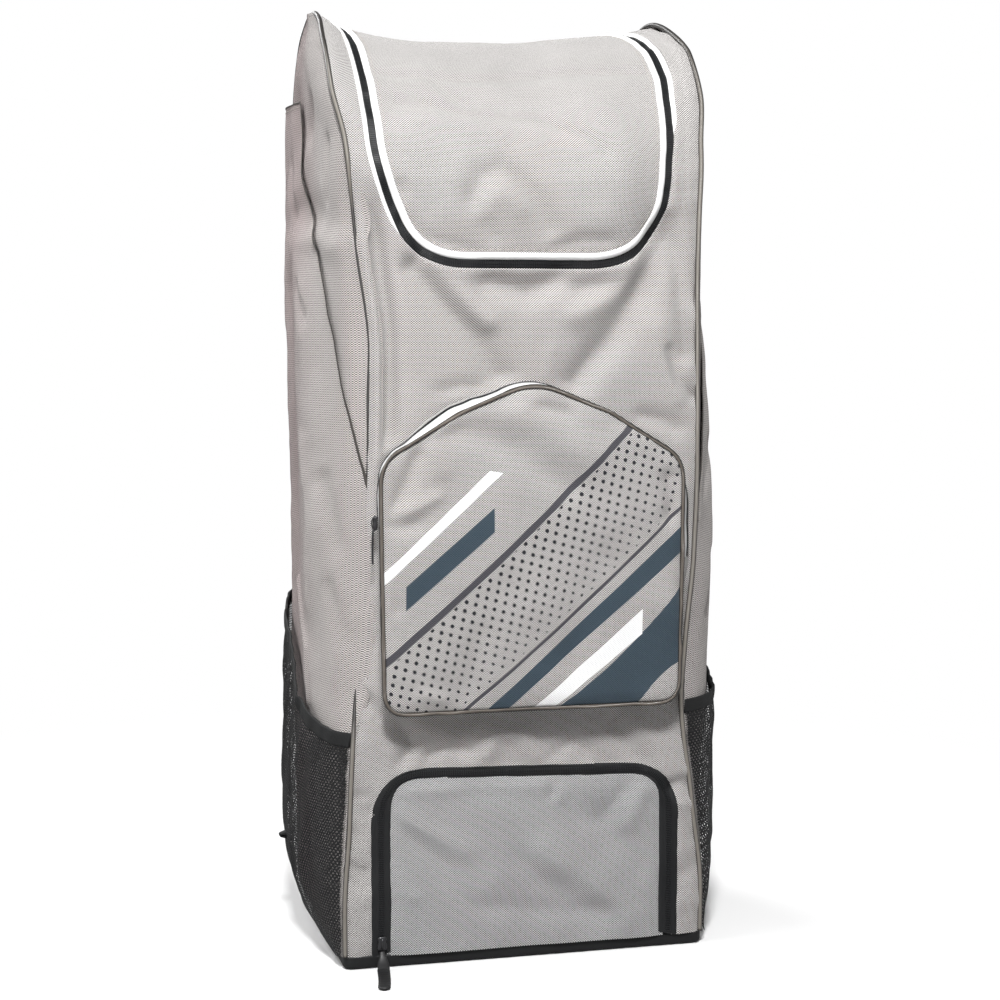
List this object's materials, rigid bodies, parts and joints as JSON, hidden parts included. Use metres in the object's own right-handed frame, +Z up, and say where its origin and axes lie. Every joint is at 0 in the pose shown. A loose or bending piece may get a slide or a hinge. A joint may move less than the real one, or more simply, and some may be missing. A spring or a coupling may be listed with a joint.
{
  "type": "cricket kit bag",
  "caption": "Tall upright cricket kit bag with an arched top, zipped lid, printed front pocket, shoe compartment, side bat sleeves and net pockets.",
  "frame": {"origin": "middle of the underside of the base tray, on the floor", "axes": "+Z up to the arched top, -Y out of the front with the printed pocket, +X to the right seen from the front"},
  "size_m": [0.4214, 0.3622, 0.8809],
  "materials": {
    "body_cloth": "matte",
    "side_cloth": "matte",
    "printed_cloth": "matte",
    "door_cloth": "matte",
    "piping": "matte",
    "white_trim": "matte",
    "zip_tape": "satin",
    "binding": "matte",
    "net": "matte",
    "base_tray": "matte",
    "slider_metal": "satin",
    "rubber": "matte"
  },
  "bodies": {
    "root": {"front_panel": "body_cloth", "lid_flap": "body_cloth", "lid_zip": "zip_tape", "lid_trim_inner": "white_trim", "lid_trim_outer": "white_trim", "back_panel": "body_cloth", "base_panel": "base_tray", "side_panel_left": "side_cloth", "side_piping_left": "piping", "bat_sleeve_left": "side_cloth", "sleeve_edge_left": "piping", "mesh_pocket_left": "net", "mesh_binding_left": "binding", "side_panel_right": "side_cloth", "side_piping_right": "piping", "bat_sleeve_right": "side_cloth", "sleeve_edge_right": "piping", "mesh_pocket_right": "net", "mesh_binding_right": "binding", "side_tab_left": "binding", "front_pocket_face": "printed_cloth", "front_pocket_piping": "piping", "front_pocket_gusset": "body_cloth", "front_pocket_zip": "zip_tape", "front_pocket_trim": "white_trim", "front_pocket_slider": "slider_metal", "front_pocket_pull": "slider_metal", "shoe_door": "door_cloth", "shoe_zip": "zip_tape", "shoe_slider": "slider_metal", "shoe_pull": "rubber"}
  },
  "joints": []
}
